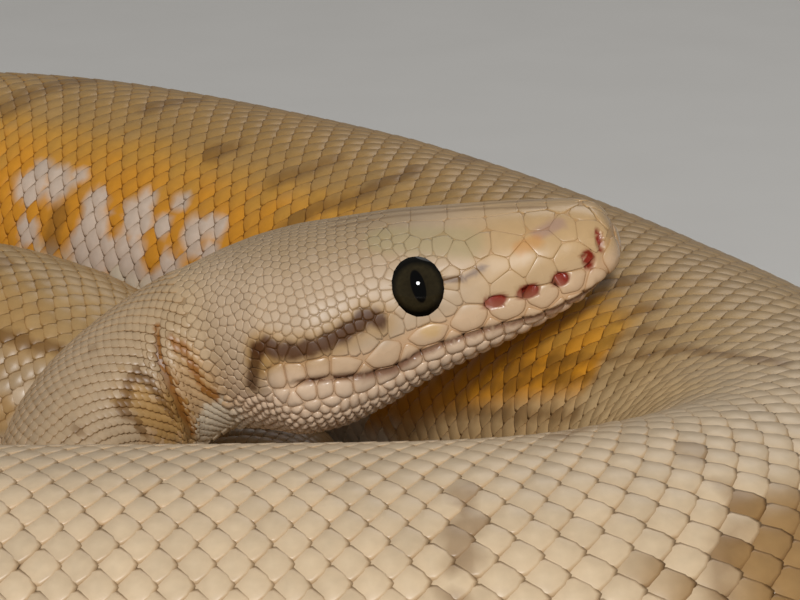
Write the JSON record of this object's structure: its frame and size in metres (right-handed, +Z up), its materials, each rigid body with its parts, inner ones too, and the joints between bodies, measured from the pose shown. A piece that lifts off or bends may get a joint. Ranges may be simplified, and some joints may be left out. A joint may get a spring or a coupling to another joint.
{
  "type": "coiled ball python",
  "caption": "Life-size still model of a ball python resting in a loose coil, its head laid over its own body, for display or as a resting animal in a scene.",
  "frame": {"origin": "middle of the coil's bounding box, at the level of the floor it rests on", "axes": "+Z up; +X the way the snout points; +Y across the coil, away from the side that the snake's right eye faces"},
  "size_m": [0.2436, 0.2392, 0.0534],
  "materials": {
    "skin": "satin overlapping scales, cream and tan with yellow flanks and brown broken markings",
    "eye": "wet gloss, dark olive with an upright slit pupil"
  },
  "bodies": {
    "root": {"head": "skin", "lower_jaw": "skin", "neck_01": "skin", "neck_02": "skin", "neck_03": "skin", "neck_04": "skin", "neck_05": "skin", "trunk_01": "skin", "trunk_02": "skin", "trunk_03": "skin", "trunk_04": "skin", "trunk_05": "skin", "trunk_06": "skin", "trunk_07": "skin", "trunk_08": "skin", "trunk_09": "skin", "trunk_10": "skin", "trunk_11": "skin", "trunk_12": "skin", "trunk_13": "skin", "trunk_14": "skin", "trunk_15": "skin", "trunk_16": "skin", "trunk_17": "skin", "tail_01": "skin", "eye_left": "eye", "eye_right": "eye"}
  },
  "joints": []
}
